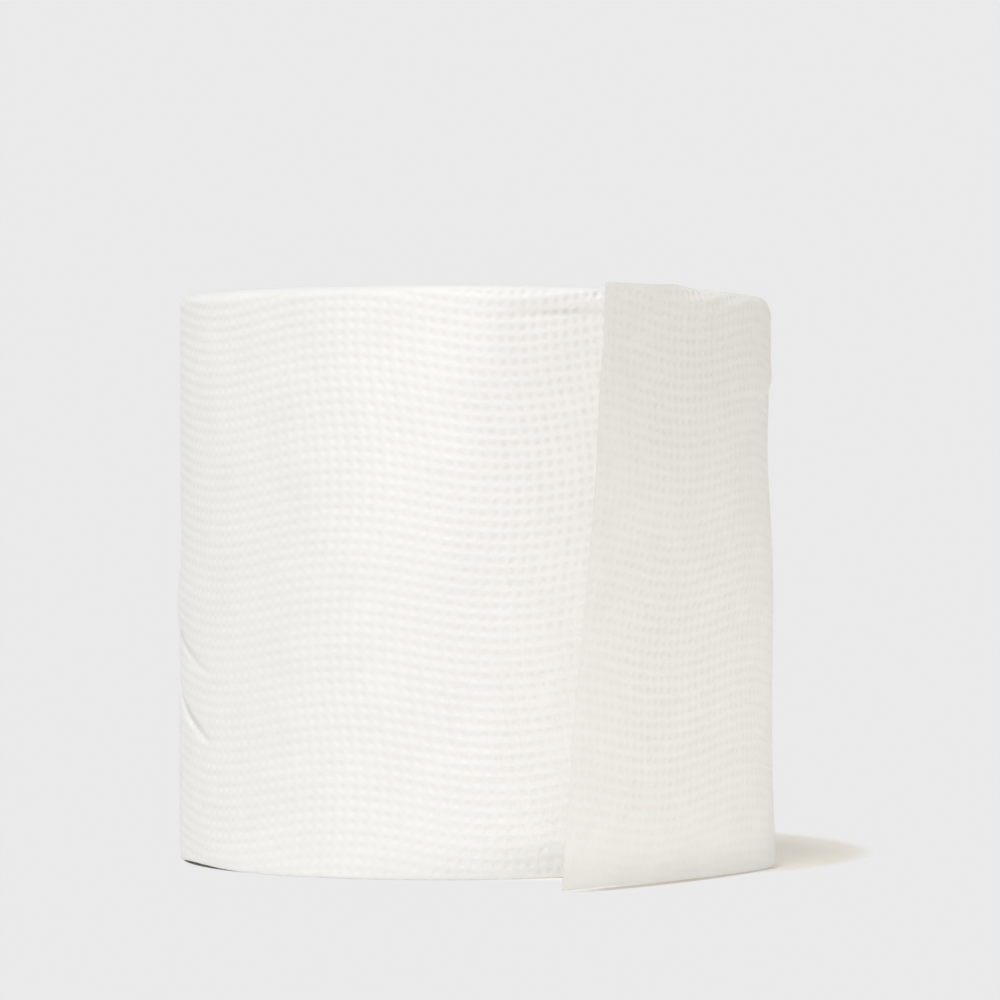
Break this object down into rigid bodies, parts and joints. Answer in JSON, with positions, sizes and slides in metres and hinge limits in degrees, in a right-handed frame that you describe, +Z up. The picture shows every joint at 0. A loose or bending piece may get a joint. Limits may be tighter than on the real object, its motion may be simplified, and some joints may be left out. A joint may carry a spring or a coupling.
{
  "type": "toilet paper roll",
  "caption": "Roll of white dot-embossed toilet paper standing on its end, wound on a cardboard core, with the last turn loose and its free end standing off.",
  "frame": {"origin": "on the axis of the cardboard core, in the plane of the end that the roll stands on", "axes": "+Z up along the core's axis; the free end of the web hangs at the front right, towards -Y and +X"},
  "size_m": [0.1056, 0.1192, 0.1],
  "materials": {
    "paper": "matt, soft, dot-embossed tissue",
    "board": "matt grey-brown board, spirally wound"
  },
  "bodies": {
    "root": {"paper_roll": "paper", "core_tube": "board"}
  },
  "joints": []
}
